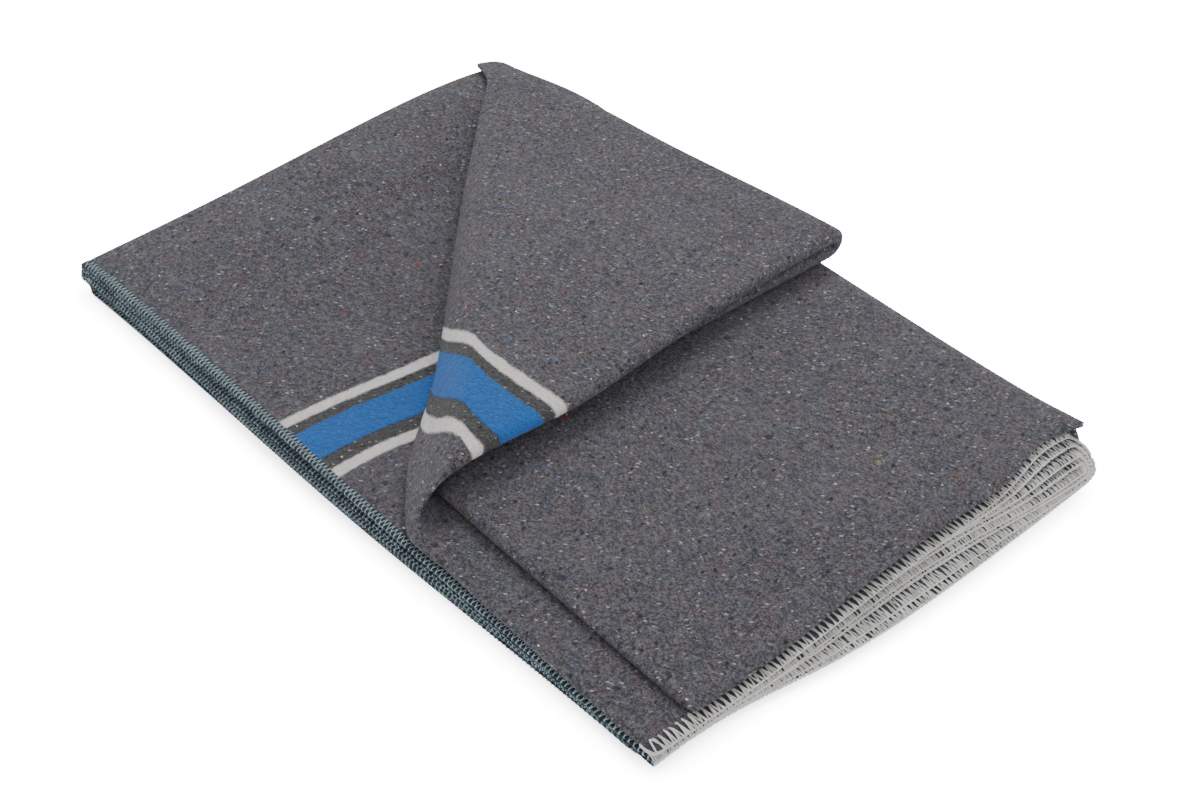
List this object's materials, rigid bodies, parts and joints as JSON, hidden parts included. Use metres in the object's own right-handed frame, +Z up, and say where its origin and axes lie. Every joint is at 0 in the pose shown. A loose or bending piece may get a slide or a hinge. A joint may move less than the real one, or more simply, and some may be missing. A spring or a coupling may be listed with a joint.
{
  "type": "folded moving blanket",
  "caption": "A striped felt moving blanket folded in half four times into a flat pack, with one top corner turned over on the diagonal; used to pad and wrap furniture.",
  "frame": {"origin": "middle of the folded pack's footprint, on the surface that it lies on", "axes": "+X along the pack's long side, towards the end with the bound edges; +Y across it, towards the back crease; +Z up, through the layers"},
  "size_m": [0.518, 0.3584, 0.0744],
  "materials": {
    "grey_felt": "matt needle-felted recycled fibre"
  },
  "bodies": {
    "root": {"blanket": "grey_felt"}
  },
  "joints": []
}
